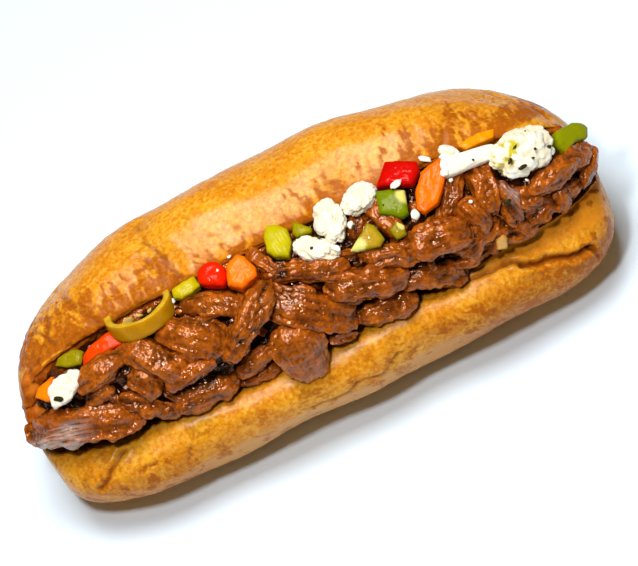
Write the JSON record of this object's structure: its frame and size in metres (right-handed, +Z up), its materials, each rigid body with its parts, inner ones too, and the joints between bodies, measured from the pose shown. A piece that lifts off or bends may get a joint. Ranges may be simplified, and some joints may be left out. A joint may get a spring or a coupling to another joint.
{
  "type": "submarine sandwich",
  "caption": "Hinged soft sub roll stuffed with glossy sliced beef and pickled vegetables along its open mouth.",
  "frame": {"origin": "centre of the footprint, on the surface that the sandwich rests on", "axes": "+X along the roll, +Z up, and the open mouth faces -Y and up"},
  "size_m": [0.2125, 0.0857, 0.0782],
  "materials": {
    "crust": "baked crust, satin where it is oiled",
    "beef": "moist, glossy",
    "carrot": "moist",
    "cauliflower": "matt, moist",
    "pepper_green": "glossy skin",
    "pepper_red": "glossy skin",
    "celery": "moist",
    "onion": "moist",
    "pickled_ring": "moist skin"
  },
  "bodies": {
    "root": {"roll": "crust", "beef": "beef", "carrot_1": "carrot", "carrot_2": "carrot", "carrot_3": "carrot", "carrot_4": "carrot", "cauliflower_1": "cauliflower", "cauliflower_2": "cauliflower", "cauliflower_3": "cauliflower", "cauliflower_4": "cauliflower", "cauliflower_5": "cauliflower", "cauliflower_stalk_1": "cauliflower", "pepper_green_1": "pepper_green", "pepper_green_2": "pepper_green", "pepper_green_3": "pepper_green", "pepper_green_4": "pepper_green", "pepper_green_5": "pepper_green", "pepper_green_6": "pepper_green", "pepper_green_7": "pepper_green", "pepper_red_1": "pepper_red", "pepper_red_2": "pepper_red", "pepper_red_3": "pepper_red", "celery_1": "celery", "onion_1": "onion", "pickled_ring": "pickled_ring"}
  },
  "joints": []
}
